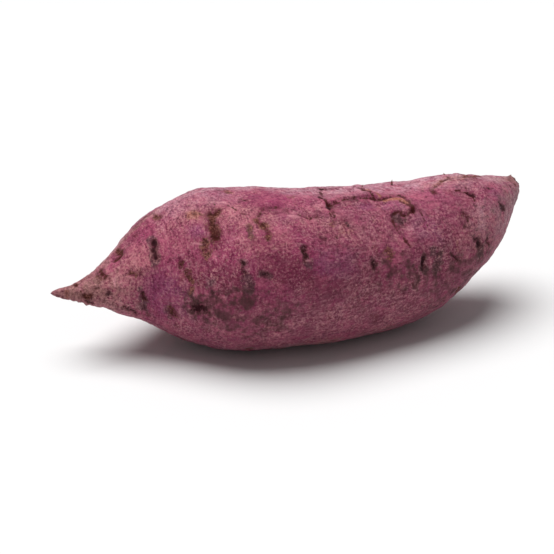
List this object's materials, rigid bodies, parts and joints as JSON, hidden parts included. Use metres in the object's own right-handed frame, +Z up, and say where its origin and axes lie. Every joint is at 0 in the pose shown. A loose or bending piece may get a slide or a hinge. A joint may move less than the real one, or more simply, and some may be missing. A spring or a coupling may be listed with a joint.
{
  "type": "purple sweet potato",
  "caption": "Whole raw sweet potato root, thick in the middle, with a thin pointed tail and a blunt stem end, lying on a small flat spot.",
  "frame": {"origin": "centre of the bounding box on the surface that the root rests on", "axes": "+X along the root from the thin tail to the stem scar, +Z up, the root's front faces -Y"},
  "size_m": [0.202, 0.0736, 0.0636],
  "materials": {
    "skin": "matt, dusty purple-red skin with brown scars and fine tan specks"
  },
  "bodies": {
    "root": {"sweet_potato": "skin"}
  },
  "joints": []
}
